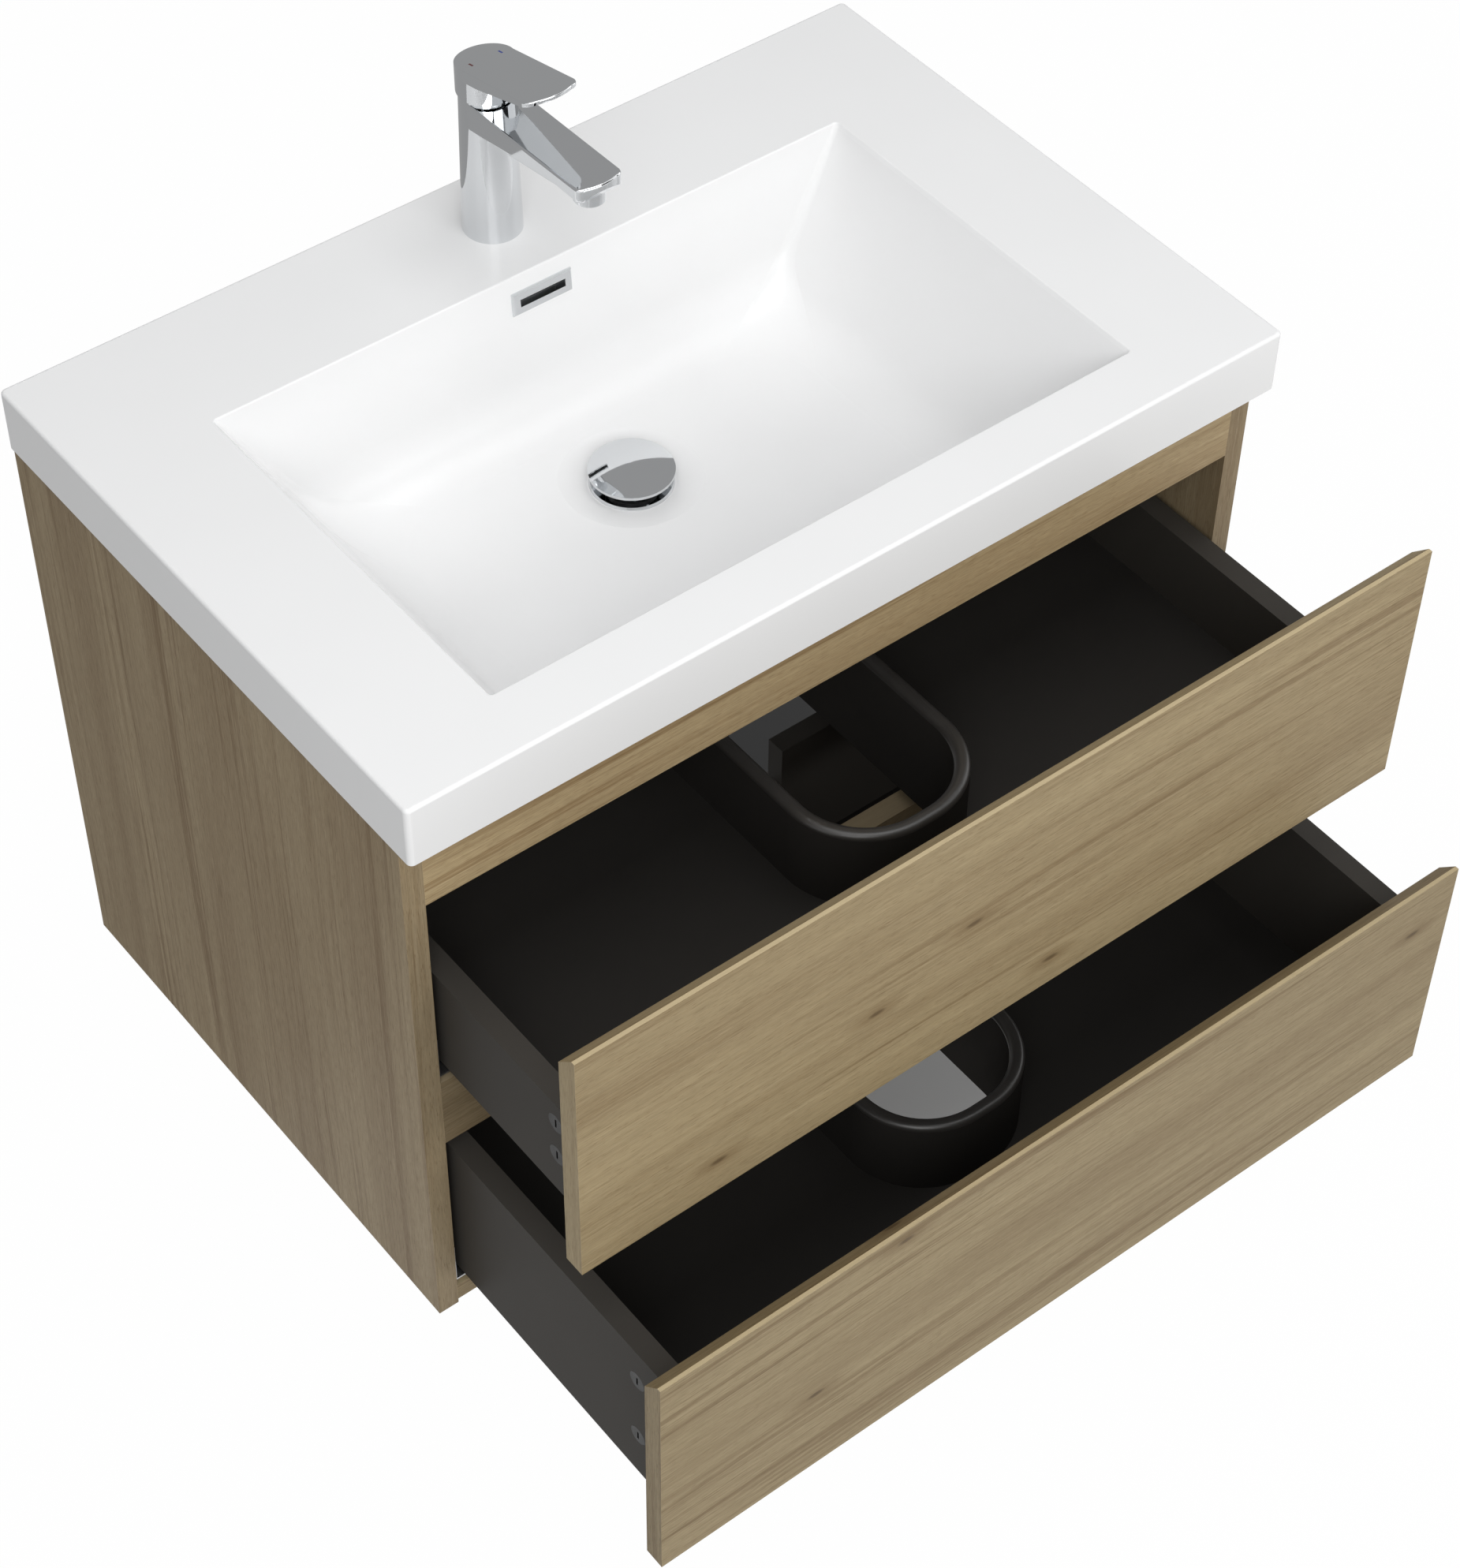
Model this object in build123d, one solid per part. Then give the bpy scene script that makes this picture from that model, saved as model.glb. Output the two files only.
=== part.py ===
from build123d import *
import os
from math import atan2, cos, pi, sin, sqrt, tan

# Wall-hung bathroom vanity: two drawers under an inset-bowl basin top, with a single-lever
# faucet and a push waste.  Millimetres.  +X is to the right, +Y to the wall, +Z up.
# The origin lies on the wall, at the centre of the four wall screws.

# ------------------------------------------------------------------ driving dimensions

# carcass
board = 16.0                    # every carcass board, drawer side and drawer front
carcass_height = 488.0
side_overhang = 3.0             # basin beyond the side panels
bumper_gap = 1.5                # between a closed drawer front and the carcass
rail_height = 64.0
bottom_rail_depth = 80.0
bottom_rail_lift = 4.0          # bottom rail above the lower end of the side panels
rear_rail_gap = 3.0             # upper rear rail in front of the hangers
wall_screw_drop = 70.0          # wall screw centre below the carcass top
dowel_radius = 4.0
dowel_length = 30.0
dowel_reach = 18.0              # part of each dowel inside its rail
dowel_inset = 14.0              # dowel axis from the long edges of a rail
bore_bottom = 1.0               # free depth past the end of a dowel or screw
fit_clearance = 0.05            # radial, where a round piece sits in its hole

# basin top
basin_width = 700.0
basin_depth = 460.0
slab_height = 48.0
slab_skin = 12.0
skirt_side = 26.0
skirt_front = 40.0
skirt_back = 26.0
slab_edge_radius = 2.5
slab_corner_radius = 4.0
bowl_width = 514.0
bowl_deck = 108.0               # between the wall and the bowl
bowl_rail_gap = 2.5             # between the bowl's shell and the top rail
bowl_depth = 118.0
bowl_wall = 11.0
bowl_side_inset = 66.0          # how far each bowl wall leans in on its way down
bowl_back_inset = 9.0
bowl_front_inset = 24.0
bowl_blend_radius = 40.0        # between the walls and the floor
bowl_rim_corner = 3.0           # corner radii in plan: at the rim, where the walls end
bowl_wall_corner = 8.0
bowl_floor_corner = 45.0        # and on the floor
bowl_blend_steps = 9            # sections through the blend
bowl_rim_radius = 1.2

# overflow
overflow_drop = 22.0            # slot centre below the rim
overflow_width = 37.0
overflow_height = 6.0
overflow_border = 6.0
overflow_proud = 2.2
overflow_sleeve = 1.5
duct_width = 50.0
duct_gap = 8.0
duct_wall = 4.0

# waste
waste_from_wall = 209.0
dish_radius = 50.0
dish_depth = 4.0
waste_hole_radius = 22.5
waste_tail_radius = 20.95
waste_tail_length = 72.0
waste_tube_wall = 2.5
waste_flange_radius = 29.5
waste_flange_height = 2.0
waste_boss_radius = 36.0
waste_boss_height = 26.0
gasket_height = 4.0
waste_nut_height = 10.0
waste_nut_flats = 54.0
thread_relief_drop = 1.0        # groove round the tail, below the nut
thread_relief_height = 2.0
thread_relief_depth = 0.6
window_width = 14.0
cap_radius = 30.0
cap_edge = 2.2
cap_crown = 3.6
cap_lift = 8.0                  # edge of the raised cap above the flange
cap_stem_radius = 4.0
cap_stem_length = 40.0
cap_seal_radius = 17.0
cap_seal_height = 2.0
bridge_height = 6.0
bridge_rib = 4.0
bridge_drop = 22.0              # top of the bridge below the flange

# faucet
faucet_from_wall = 55.0
faucet_height = 112.0           # flat top of the body and spout, above the basin
faucet_base_radius = 21.0
faucet_top_radius = 18.6
spout_reach = 129.0
spout_root_half = 18.4
spout_tip_half = 18.0
spout_root_depth = 24.0
spout_outlet_depth = 8.0        # flat underside at the outlet, below the body's flat top
spout_tip_depth = 5.0
spout_slope = 0.03              # rise of the spout's top for each millimetre forward
spout_corner_radius = 6.0
spout_under_radius = 3.0
spout_edge_radius = 1.6
spout_top_drop = 1.2              # below the column's top, clear of the lever's skirt
spout_nose_bow = 2.0
aerator_from_axis = 113.0
aerator_radius = 10.8
aerator_height = 9.5
aerator_wall = 2.4
aerator_neck_radius = 8.6
aerator_neck_height = 4.0
aerator_recess = 3.0
deck_boss_radius = 38.0
deck_boss_depth = 30.0
faucet_hole_radius = 17.0
seal_height = 1.5
seal_inner = 13.0
seal_outer = 17.5
inlet_radius = 4.6
inlet_depth = 14.0
inlet_spacing = 13.0
inlet_forward = 4.0
stud_radius = 4.0
stud_back = 8.0
stud_length = 60.0
stud_grip = 15.0                # stud length inside the body
clamp_thickness = 3.0
clamp_radius = 27.0
stud_nut_flats = 13.0
stud_nut_height = 8.0

# cartridge and lever
pivot_drop = 6.0                # lever pivot below the body's flat top
cartridge_radius = 12.5
cartridge_length = 32.0
cartridge_nut_radius = 16.2
cartridge_nut_height = 14.0
turret_radius = 9.0
turret_floor = 9.0              # bottom of the turret's slot below the pivot
turret_foot = 7.0
turret_head = 8.0               # above the pivot
spindle_side = 7.0
spindle_foot = 7.0              # below the pivot
spindle_head = 22.0             # above the pivot
pivot_pin_radius = 1.5
running_clearance = 0.06        # radial, where a round piece turns or slides
slot_clearance = 0.3
dome_radius = 18.0
dome_height = 6.0
dome_bore = 14.3
lever_radius = 20.2
lever_tip_half = 20.8
lever_reach = 80.0
lever_height = 24.7             # top of the lever above the body's flat top, at the axis
lever_slope = 0.23
lever_tip_thickness = 2.8
lever_root_thickness = 9.0
lever_corner_radius = 7.0
lever_nose_bow = 3.0
lever_edge_radius = 0.8
lever_skirt_wall = 1.1
lever_skirt_gap = 1.0           # above the body's flat top
socket_radius = 7.5
socket_gap = 6.0                # socket above the turret's head
grub_radius = 2.5
grub_length = 5.0

# drawers
front_height = 210.0
grip_gap = 30.0                 # above the upper front
reveal_gap = 34.0               # between the fronts
grip_land = 3.0
grip_bevel = 13.0
upper_side_height = 88.0
lower_side_height = 140.0
box_length = 400.0
side_gap = 5.0                  # between a drawer side and a side panel
box_lift = 13.5                 # drawer box above its rail
floor_board = 12.0
floor_recess = 13.0
upper_open = 157.0              # how far each drawer stands open
lower_open = 236.0
siphon_half = 57.0
siphon_nose = 83.0              # from the drawer front to the inside of the U
siphon_nose_radius = 51.0
siphon_wall = 11.0
siphon_skin = 2.5
siphon_height = 91.0
siphon_lift = 2.0
siphon_lip = 8.0
siphon_rim_radius = 4.5
cam_radius = 7.5
cam_depth = 12.5
cam_from_front = 36.5
cam_bolt_radius = 3.5
cam_bolt_grip = 11.0
upper_cam_drop = 19.5
upper_cam_spacing = 32.0
lower_cam_drop = 32.0
lower_cam_spacing = 64.0

# runners
steel = 1.5
runner_setback = 2.0
runner_rail_width = 12.0
runner_play = 0.4
runner_shelf_drop = 10.0        # underside of the shelf below the drawer box
runner_web_height = 38.0
runner_side_gap = 1.1           # drawer member to the drawer side
runner_leg_drop = 5.0           # legs of the moving members below the drawer box
screw_radius = 2.0
screw_head_radius = 3.8
screw_head_height = 1.5
screw_grip = 11.0
screw_inset = 37.0
screws_per_runner = 3

# hangers
plate_width = 44.0
plate_thickness = 3.0
plate_hole_radius = 3.5
plate_hole_spacing = 28.0
plate_margin = 12.0
plate_lip = 18.0
plate_step = 4.0                # gap behind the lip
plate_side_gap = 4.0
hanger_width = 40.0
hanger_play = 0.5
hanger_flange = 15.0
hanger_screw_spacing = 20.0
hanger_screw_margin = 6.0       # screw centres from the ends of the flange

# ------------------------------------------------------------------ derived places

carcass_top = wall_screw_drop
carcass_bottom = carcass_top - carcass_height
slab_top = carcass_top + slab_height
slab_front = -basin_depth
carcass_front = slab_front + board + bumper_gap
carcass_half = basin_width / 2 - side_overhang
inside_half = carcass_half - board

bowl_back = -bowl_deck
bowl_front = carcass_front + board + bowl_rail_gap + bowl_wall
bowl_length = bowl_back - bowl_front
bowl_floor = slab_top - bowl_depth
bowl_under = bowl_floor - bowl_wall
deck_boss_bottom = slab_top - deck_boss_depth
dish_floor = bowl_floor - dish_depth
waste_boss_bottom = bowl_floor - waste_boss_height
waste_y = -waste_from_wall

faucet_y = -faucet_from_wall
faucet_top = slab_top + faucet_height
pivot_z = faucet_top - pivot_drop

upper_front_top = carcass_top - grip_gap
upper_front_bottom = upper_front_top - front_height
lower_front_top = upper_front_bottom - reveal_gap
bottom_rail_top = carcass_bottom + bottom_rail_lift + board

upper = dict(name="upper", top=upper_front_top, box=upper_front_bottom + box_lift,
             side=upper_side_height, out=upper_open,
             cam_drop=upper_cam_drop, cam_spacing=upper_cam_spacing)
lower = dict(name="lower", top=lower_front_top, box=bottom_rail_top + box_lift,
             side=lower_side_height, out=lower_open,
             cam_drop=lower_cam_drop, cam_spacing=lower_cam_spacing)

side_outer = inside_half - side_gap
side_inner = side_outer - board
siphon_outer = siphon_half + siphon_wall
runner_length = box_length

parts = {}


# ------------------------------------------------------------------ helpers

def block(x0, x1, y0, y1, z0, z1):
    """Box between two opposite corners."""
    middle = Pos((x0 + x1) / 2, (y0 + y1) / 2, (z0 + z1) / 2)
    return middle * Box(abs(x1 - x0), abs(y1 - y0), abs(z1 - z0))


def post(x, y, z0, z1, radius):
    """Upright cylinder between two heights."""
    return Pos(x, y, (z0 + z1) / 2) * Cylinder(radius, abs(z1 - z0))


def ring(x, y, z0, z1, outer, inner):
    """Upright tube between two heights."""
    return post(x, y, z0, z1, outer) - post(x, y, z0, z1, inner)


def cross_rod(x0, x1, y, z, radius):
    """Cylinder along X."""
    return Pos((x0 + x1) / 2, y, z) * Rot(0, 90, 0) * Cylinder(radius, abs(x1 - x0))


def depth_rod(x, y0, y1, z, radius):
    """Cylinder along Y."""
    return Pos(x, (y0 + y1) / 2, z) * Rot(90, 0, 0) * Cylinder(radius, abs(y1 - y0))


def hexagon(x, y, z0, z1, flats):
    """Upright hexagonal prism between two heights."""
    outline = RegularPolygon(radius=flats / sqrt(3), side_count=6)
    return Pos(x, y, z0) * extrude(outline, z1 - z0)


def side_profile(points, width):
    """Closed outline of (y, z) points, extruded along X about the middle plane."""
    outline = make_face(Plane.YZ * Polyline(points, close=True))
    return extrude(outline, width / 2, both=True)


def mirrored(shape):
    return mirror(shape, about=Plane.YZ)


def group(shapes):
    return Compound(children=list(shapes))


def add(name, shape):
    parts[name] = shape


# ------------------------------------------------------------------ carcass

def rear_rail_back():
    """Back face of the upper rear rail, in front of the hangers' flanges."""
    return hanger_front() - rear_rail_gap


def dowel_spots():
    """Places (y, z) of the dowels of each rail, by rail name."""
    front = carcass_front + board / 2
    rear = rear_rail_back() - board / 2
    span = (dowel_inset, rail_height - dowel_inset)
    flat_z = bottom_rail_top - board / 2
    return {
        "top_rail": [(front, carcass_top - s) for s in span],
        "middle_rail": [(front, upper_front_bottom - s) for s in span],
        "bottom_rail": [(carcass_front + dowel_inset, flat_z),
                        (carcass_front + bottom_rail_depth - dowel_inset, flat_z)],
        "upper_rear_rail": [(rear, carcass_top - s) for s in span],
        "lower_rear_rail": [(-board / 2, bottom_rail_top + s) for s in span],
    }


def runner_room(drawer):
    """What a rail leaves free where a long runner reaches it."""
    y0 = carcass_front + runner_setback
    shelf = drawer["box"] - runner_shelf_drop
    return block(runner_middle() - runner_halves()[0] - fit_clearance, inside_half, y0,
                 y0 + runner_length + fit_clearance, shelf - fit_clearance,
                 shelf + runner_web_height + fit_clearance)


def rail(name, y0, z0, depth, height):
    """Cross board between the side panels, bored at both ends for its dowels."""
    shape = block(-inside_half, inside_half, y0, y0 + depth, z0, z0 + height)
    bore = dowel_reach + bore_bottom
    for y, z in dowel_spots()[name]:
        shape -= cross_rod(inside_half - bore, inside_half, y, z, dowel_radius + fit_clearance)
        shape -= cross_rod(-inside_half, bore - inside_half, y, z, dowel_radius + fit_clearance)
    if y0 > carcass_front:
        for drawer in (upper, lower):
            shape -= runner_room(drawer) + mirrored(runner_room(drawer))
    add(name, shape)


def runner_screw_spots():
    """Places (y, z) of the runner screws in each side panel."""
    first = carcass_front + runner_setback + screw_inset
    pitch = (runner_length - 2 * screw_inset) / (screws_per_runner - 1)
    spots = []
    for drawer in (upper, lower):
        z = drawer["box"] - runner_shelf_drop + runner_web_height - 2 * screw_head_radius
        spots += [(first + i * pitch, z) for i in range(screws_per_runner)]
    return spots


def hanger_screw_spots():
    y = hanger_front() + hanger_flange / 2
    top = hanger_top() - hanger_screw_margin
    return [(y, top), (y, top - hanger_screw_spacing)]


def side_panel():
    """Right-hand side panel with its dowel and screw holes."""
    shape = block(inside_half, carcass_half, carcass_front, 0, carcass_bottom, carcass_top)
    depth = dowel_length - dowel_reach + bore_bottom
    for spots in dowel_spots().values():
        for y, z in spots:
            shape -= cross_rod(inside_half, inside_half + depth, y, z,
                               dowel_radius + fit_clearance)
    for y, z in runner_screw_spots() + hanger_screw_spots():
        shape -= cross_rod(inside_half, inside_half + screw_grip + bore_bottom, y, z,
                           screw_radius + fit_clearance)
    return shape


def dowels():
    rods = []
    for spots in dowel_spots().values():
        for y, z in spots:
            rod = cross_rod(inside_half - dowel_reach, inside_half + dowel_length - dowel_reach,
                            y, z, dowel_radius)
            rods += [rod, mirrored(rod)]
    return group(rods)


def carcass_screws():
    """Pan-head screws of the runners and hangers."""
    screws = []
    for y, z in runner_screw_spots() + hanger_screw_spots():
        face = inside_half - steel
        screw = cross_rod(face - screw_head_height, face, y, z, screw_head_radius)
        screw += cross_rod(face, inside_half + screw_grip, y, z, screw_radius)
        screws += [screw, mirrored(screw)]
    return group(screws)


# ------------------------------------------------------------------ wall fixing

def hanger_top():
    """Height of the top of the hangers, which rest on the lips of the wall plates."""
    return plate_top() + steel


def hanger_hook_front():
    """Front face of the hook's outer wall."""
    return -plate_step - plate_thickness - hanger_play - steel


def hanger_front():
    """Front edge of the flange on the side panel."""
    return hanger_hook_front() - hanger_flange


def plate_top():
    return plate_hole_spacing / 2 + plate_margin + plate_lip


def plate_middle():
    return inside_half - plate_side_gap - plate_width / 2


def wall_plate():
    """Right-hand wall plate: two screw holes below a lip that stands off the wall."""
    low = -plate_hole_spacing / 2 - plate_margin
    bend = plate_hole_spacing / 2 + plate_margin
    x0 = plate_middle() - plate_width / 2
    x1 = plate_middle() + plate_width / 2
    step = plate_step + plate_thickness
    shape = block(x0, x1, -plate_thickness, 0, low, bend)
    shape += block(x0, x1, -step, 0, bend - plate_thickness, bend)
    shape += block(x0, x1, -step, -plate_step, bend - plate_thickness, plate_top())
    for z in (-plate_hole_spacing / 2, plate_hole_spacing / 2):
        shape -= depth_rod(plate_middle(), -plate_thickness, 0, z, plate_hole_radius)
    return shape


def hanger():
    """Right-hand hanger: a hook over the wall plate's lip and a flange on the side panel."""
    x1 = inside_half
    x0 = inside_half - hanger_width
    front = hanger_hook_front()
    back = hanger_play - plate_step
    top = hanger_top()
    low = plate_top() - plate_lip + plate_thickness
    shape = block(x0, x1, front, back + steel, top - steel, top)
    shape += block(x0, x1, back, back + steel, low, top)
    shape += block(x0, x1, front, front + steel, low, top)
    flange_low = top - hanger_screw_spacing - 2 * hanger_screw_margin
    shape += block(x1 - steel, x1, hanger_front(), front + steel, flange_low, top)
    for y, z in hanger_screw_spots():
        shape -= cross_rod(x1 - steel, x1, y, z, screw_radius + fit_clearance)
    return shape


# ------------------------------------------------------------------ basin top

def bowl_lean(inset, height):
    """How far a wall stands in from the rim at a height above the floor.

    The wall is straight and ends in an arc that is tangent to it and to the floor.
    """
    angle = atan2(bowl_depth, inset)
    if height >= bowl_blend_radius * (1 - cos(angle)):
        return inset * (1 - height / bowl_depth)
    floor_start = inset + bowl_blend_radius * tan(angle / 2)
    return floor_start - sqrt(bowl_blend_radius ** 2 - (bowl_blend_radius - height) ** 2)


def bowl_section(height, grow):
    """Rounded rectangle across the bowl; grow widens it all round and lowers the floor."""
    side = bowl_lean(bowl_side_inset, height)
    back = bowl_lean(bowl_back_inset, height)
    front = bowl_lean(bowl_front_inset, height)
    middle = (bowl_back - back + bowl_front + front) / 2
    if height >= bowl_blend_radius:
        share = (bowl_depth - height) / (bowl_depth - bowl_blend_radius)
        corner = bowl_rim_corner + (bowl_wall_corner - bowl_rim_corner) * share
        sink = 0
    else:
        share = 1 - height / bowl_blend_radius
        corner = bowl_wall_corner + (bowl_floor_corner - bowl_wall_corner) * share ** 2
        sink = grow * share
    outline = RectangleRounded(bowl_width + 2 * (grow - side),
                               bowl_length + 2 * grow - back - front, corner + grow)
    return Pos(0, middle, bowl_floor + height - sink) * outline


def bowl_form(grow):
    """Straight leaning walls over a blend into the floor, with corners that grow softer."""
    walls = loft([bowl_section(bowl_depth, grow), bowl_section(bowl_blend_radius, grow)],
                 ruled=True)
    heights = [bowl_blend_radius * (1 - sin(pi / 2 * i / bowl_blend_steps))
               for i in range(bowl_blend_steps + 1)]
    return walls + loft([bowl_section(height, grow) for height in heights])


def bowl_hollow():
    """The water space: the bowl with a shallow dish round the waste."""
    dish = Pos(0, waste_y, bowl_floor - dish_depth / 2) * Cone(
        waste_flange_radius + 1, dish_radius, dish_depth)
    return bowl_form(0) + dish


def overflow_plane():
    """Plane on the bowl's back wall at the overflow, facing the water."""
    lean = atan2(bowl_back_inset, bowl_depth)
    y = bowl_back - overflow_drop * bowl_back_inset / bowl_depth
    return Plane(origin=(0, y, slab_top - overflow_drop), x_dir=(1, 0, 0),
                 z_dir=(0, -cos(lean), sin(lean)))


def duct_back():
    return bowl_back + bowl_wall + duct_gap


def overflow_duct(grow):
    """Water way from the overflow down the back of the bowl and under it to the waste."""
    half = duct_width / 2 + grow
    y0 = bowl_back + bowl_wall - grow
    y1 = duct_back() + grow
    top = slab_top - overflow_drop + duct_gap + grow
    low = bowl_under - duct_gap - grow
    shape = block(-half, half, y0, y1, low, top)
    return shape + block(-half, half, waste_y, y1, low, bowl_under + grow)


def duct_opening():
    """Where the moulded duct is open, behind and below."""
    half = duct_width / 2 + duct_wall
    back = duct_back()
    low = bowl_under - duct_gap
    shape = block(-half, half, back, back + duct_wall, low - duct_wall, deck_boss_bottom)
    return shape + block(-half, half, waste_y, back, low - duct_wall, low)


def overflow_cover():
    """Glued-on cover that closes the duct, rounded out for the waste's boss."""
    return duct_opening() - post(0, waste_y, waste_boss_bottom, bowl_floor,
                                 waste_boss_radius + fit_clearance)


def basin_top():
    """Moulded top: thin slab with a skirt, the bowl's shell, the open duct and the bosses."""
    half = basin_width / 2
    slab = block(-half, half, slab_front, 0, carcass_top, slab_top)
    slab = fillet(slab.edges().filter_by(Axis.Z), slab_corner_radius)
    slab = fillet(slab.faces().sort_by(Axis.Z)[-1].edges(), slab_edge_radius)
    pocket = block(skirt_side - half, half - skirt_side, slab_front + skirt_front,
                   -skirt_back, carcass_top, slab_top - slab_skin)
    deck_boss = post(0, faucet_y, deck_boss_bottom, slab_top, deck_boss_radius)
    waste_boss = post(0, waste_y, waste_boss_bottom, bowl_floor, waste_boss_radius)
    shell = bowl_form(bowl_wall)
    duct = overflow_duct(duct_wall) - duct_opening()
    shape = slab - pocket + shell + deck_boss + duct + waste_boss
    shape -= overflow_duct(0)
    shape -= bowl_hollow()
    rim = [e for e in shape.faces().sort_by(Axis.Z)[-1].edges()
           if abs(e.center().X) < bowl_width / 2 + 1
           and bowl_front - 1 < e.center().Y < bowl_back + 1]
    shape = fillet(rim, bowl_rim_radius)
    shape -= post(0, waste_y, waste_boss_bottom, dish_floor, waste_hole_radius)
    shape -= post(0, faucet_y, deck_boss_bottom, slab_top, faucet_hole_radius)
    shape -= overflow_plane() * Box(overflow_width + 2 * overflow_sleeve,
                                    overflow_height + 2 * overflow_sleeve, 3 * bowl_wall)
    return shape


def overflow_ring():
    """Snap-in frame of the overflow slot: a bevelled border on a short sleeve."""
    border = 2 * overflow_border
    frame = Pos(0, 0, overflow_proud / 2) * Box(
        overflow_width + border, overflow_height + border, overflow_proud)
    frame = chamfer(frame.faces().sort_by(Axis.Z)[-1].edges(), overflow_proud / 2)
    reach = bowl_wall - 1
    play = 2 * fit_clearance
    sleeve = Pos(0, 0, -reach / 2) * Box(overflow_width + 2 * overflow_sleeve - play,
                                         overflow_height + 2 * overflow_sleeve - play, reach)
    slot = Box(overflow_width, overflow_height, 4 * bowl_wall)
    return overflow_plane() * (frame + sleeve - slot)


# ------------------------------------------------------------------ waste

def flange_top():
    return dish_floor + waste_flange_height


def waste_body():
    """Flanged tail tube with overflow windows and a bridge that guides the cap's stem."""
    low = flange_top() - waste_tail_length
    inner = waste_tail_radius - waste_tube_wall
    flange = Pos(0, waste_y, dish_floor + waste_flange_height / 2) * Cone(
        waste_flange_radius, waste_flange_radius - 1, waste_flange_height)
    shape = flange + post(0, waste_y, low, dish_floor, waste_tail_radius)
    shape -= post(0, waste_y, low, flange_top(), inner)
    bridge_top = flange_top() - bridge_drop
    for turn in (0, 90):
        rib = Box(2 * inner + waste_tube_wall, bridge_rib, bridge_height)
        shape += Pos(0, waste_y, bridge_top - bridge_height / 2) * Rot(0, 0, turn) * rib
    shape += post(0, waste_y, bridge_top - bridge_height, bridge_top, 2 * cap_stem_radius)
    shape -= post(0, waste_y, bridge_top - bridge_height, bridge_top,
                  cap_stem_radius + running_clearance)
    relief = waste_boss_bottom - gasket_height - waste_nut_height - thread_relief_drop
    shape -= ring(0, waste_y, relief - thread_relief_height, relief,
                  waste_tail_radius + 1, waste_tail_radius - thread_relief_depth)
    window = Box(3 * waste_tail_radius, window_width, duct_gap)
    window_z = bowl_under - duct_gap / 2
    for turn in (0, 90):
        cut = Pos(0, waste_y, window_z) * Rot(0, 0, turn) * window
        shape -= cut - post(0, waste_y, low, slab_top, inner)
    return shape


def waste_cap():
    """Domed cap on its stem, standing raised."""
    edge = flange_top() + cap_lift
    rim = edge + cap_edge
    ball_radius = (cap_radius ** 2 + cap_crown ** 2) / (2 * cap_crown)
    ball = Pos(0, waste_y, rim + cap_crown - ball_radius) * Sphere(ball_radius)
    shape = post(0, waste_y, edge, rim, cap_radius)
    shape += ball & post(0, waste_y, rim, rim + cap_crown, cap_radius)
    shape += ring(0, waste_y, edge - cap_seal_height - 1, edge,
                  cap_seal_radius, cap_seal_radius - 2)
    return shape + post(0, waste_y, edge - cap_stem_length, edge, cap_stem_radius)


def cap_seal():
    edge = flange_top() + cap_lift
    inner = cap_seal_radius + fit_clearance
    return ring(0, waste_y, edge - cap_seal_height, edge, inner + 1.2, inner)


# ------------------------------------------------------------------ faucet

def nose_outline(half_root, half_tip, back, reach, corner, bow):
    """Plan outline from the axis forward: flared sides, rounded corners, a bowed nose."""
    side = Line((half_root, back), (half_tip, corner - reach))
    corner_arc = ThreePointArc(
        (half_tip, corner - reach),
        (half_tip - corner * (1 - cos(pi / 4)), corner * (1 - sin(pi / 4)) - reach),
        (half_tip - corner, -reach))
    nose = ThreePointArc((half_tip - corner, -reach), (0, -reach - bow),
                         (corner - half_tip, -reach))
    other_corner = ThreePointArc(
        (corner - half_tip, -reach),
        (corner * (1 - cos(pi / 4)) - half_tip, corner * (1 - sin(pi / 4)) - reach),
        (-half_tip, corner - reach))
    other_side = Line((-half_tip, corner - reach), (-half_root, back))
    return [side, corner_arc, nose, other_corner, other_side]


def spout():
    """Flat spout: its plan outline cut from a side profile that thins to the tip."""
    reach = spout_reach - spout_nose_bow
    plan = make_face(nose_outline(spout_root_half, spout_tip_half, 0, reach,
                                  spout_corner_radius, spout_nose_bow)
                     + [Line((-spout_root_half, 0), (spout_root_half, 0))])
    tall = extrude(Pos(0, 0, -3 * spout_root_depth) * plan, 6 * spout_root_depth)
    rise = (spout_reach - faucet_top_radius) * spout_slope
    flat = aerator_radius + 1
    side = side_profile([(0, -spout_top_drop), (-faucet_top_radius, -spout_top_drop),
                         (-spout_reach, rise), (-spout_reach, rise - spout_tip_depth),
                         (-aerator_from_axis - flat, -spout_outlet_depth),
                         (flat - aerator_from_axis, -spout_outlet_depth),
                         (0, -spout_root_depth)], 4 * spout_tip_half)
    shape = tall & side
    outer = spout_tip_half - spout_corner_radius / 2
    middle = -2 * spout_top_drop
    low = [e for e in shape.edges() if abs(e.center().X) > outer and e.center().Z < middle
           and abs(e.tangent_at(0.5).Z) < 0.5]
    shape = fillet(low, spout_under_radius)
    high = [e for e in shape.edges() if e.center().Z > middle
            and (abs(e.center().X) > outer or e.center().Y < -reach)
            and abs(e.tangent_at(0.5).Z) < 0.5]
    return Pos(0, faucet_y, faucet_top) * fillet(high, spout_edge_radius)


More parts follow.
